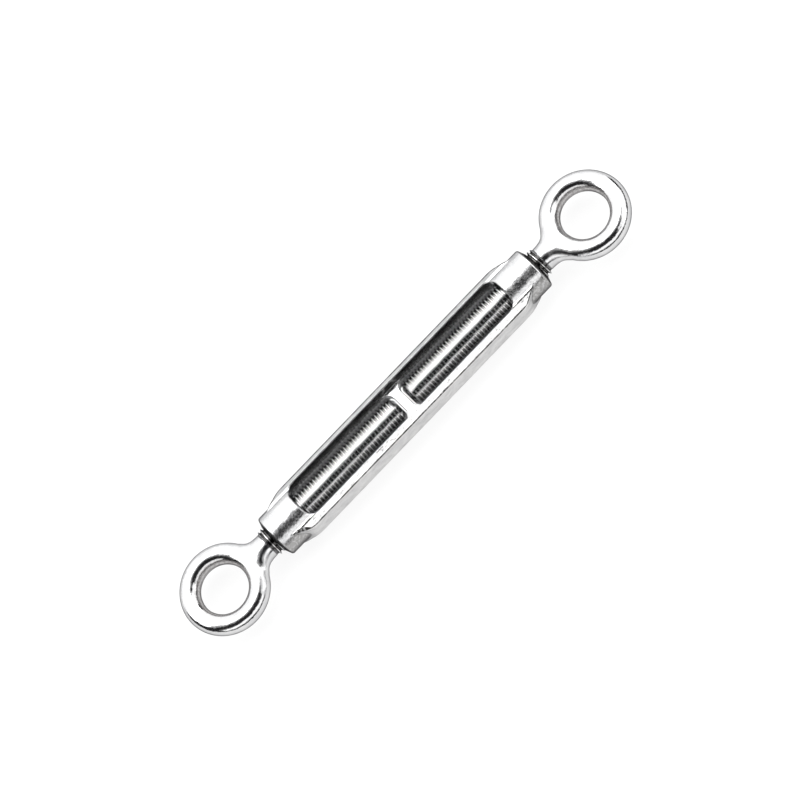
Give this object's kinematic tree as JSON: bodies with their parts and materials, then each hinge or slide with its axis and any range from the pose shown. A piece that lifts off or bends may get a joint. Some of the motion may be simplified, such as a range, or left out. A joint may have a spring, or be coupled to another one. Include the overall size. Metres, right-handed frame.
{
  "type": "rigging turnbuckle",
  "caption": "Open-frame rigging turnbuckle with a closed round eye on each threaded bolt; turning the frame draws the eyes together or lets them apart to set the tension of a line.",
  "frame": {"origin": "centre of the turnbuckle: the middle of the bridge, on the axis of the two bolts", "axes": "+X along the bolts towards the right-hand eye, +Z square to the flat of the frame and of the eyes, Y across the rails"},
  "size_m": [0.3038, 0.0472, 0.0246],
  "materials": {
    "frame_metal": "cast, tumbled and polished, fine pores",
    "bolt_metal": "forged and polished, machined thread"
  },
  "bodies": {
    "frame": {"turnbuckle_frame": "frame_metal"},
    "right_hand_bolt": {"right_hand_eye_bolt": "bolt_metal"},
    "left_hand_bolt": {"left_hand_eye_bolt": "bolt_metal"}
  },
  "joints": [
    {"name": "right_hand_thread", "type": "slide", "parent": "frame", "child": "right_hand_bolt", "axis": [1, 0, 0], "range_m": [-0.0005, 0.0705]},
    {"name": "left_hand_thread", "type": "slide", "parent": "frame", "child": "left_hand_bolt", "axis": [-1, 0, 0], "range_m": [-0.0005, 0.0705]}
  ],
  "couplings": [
    {"joint": "left_hand_thread", "follows": "right_hand_thread", "ratio": 1}
  ]
}
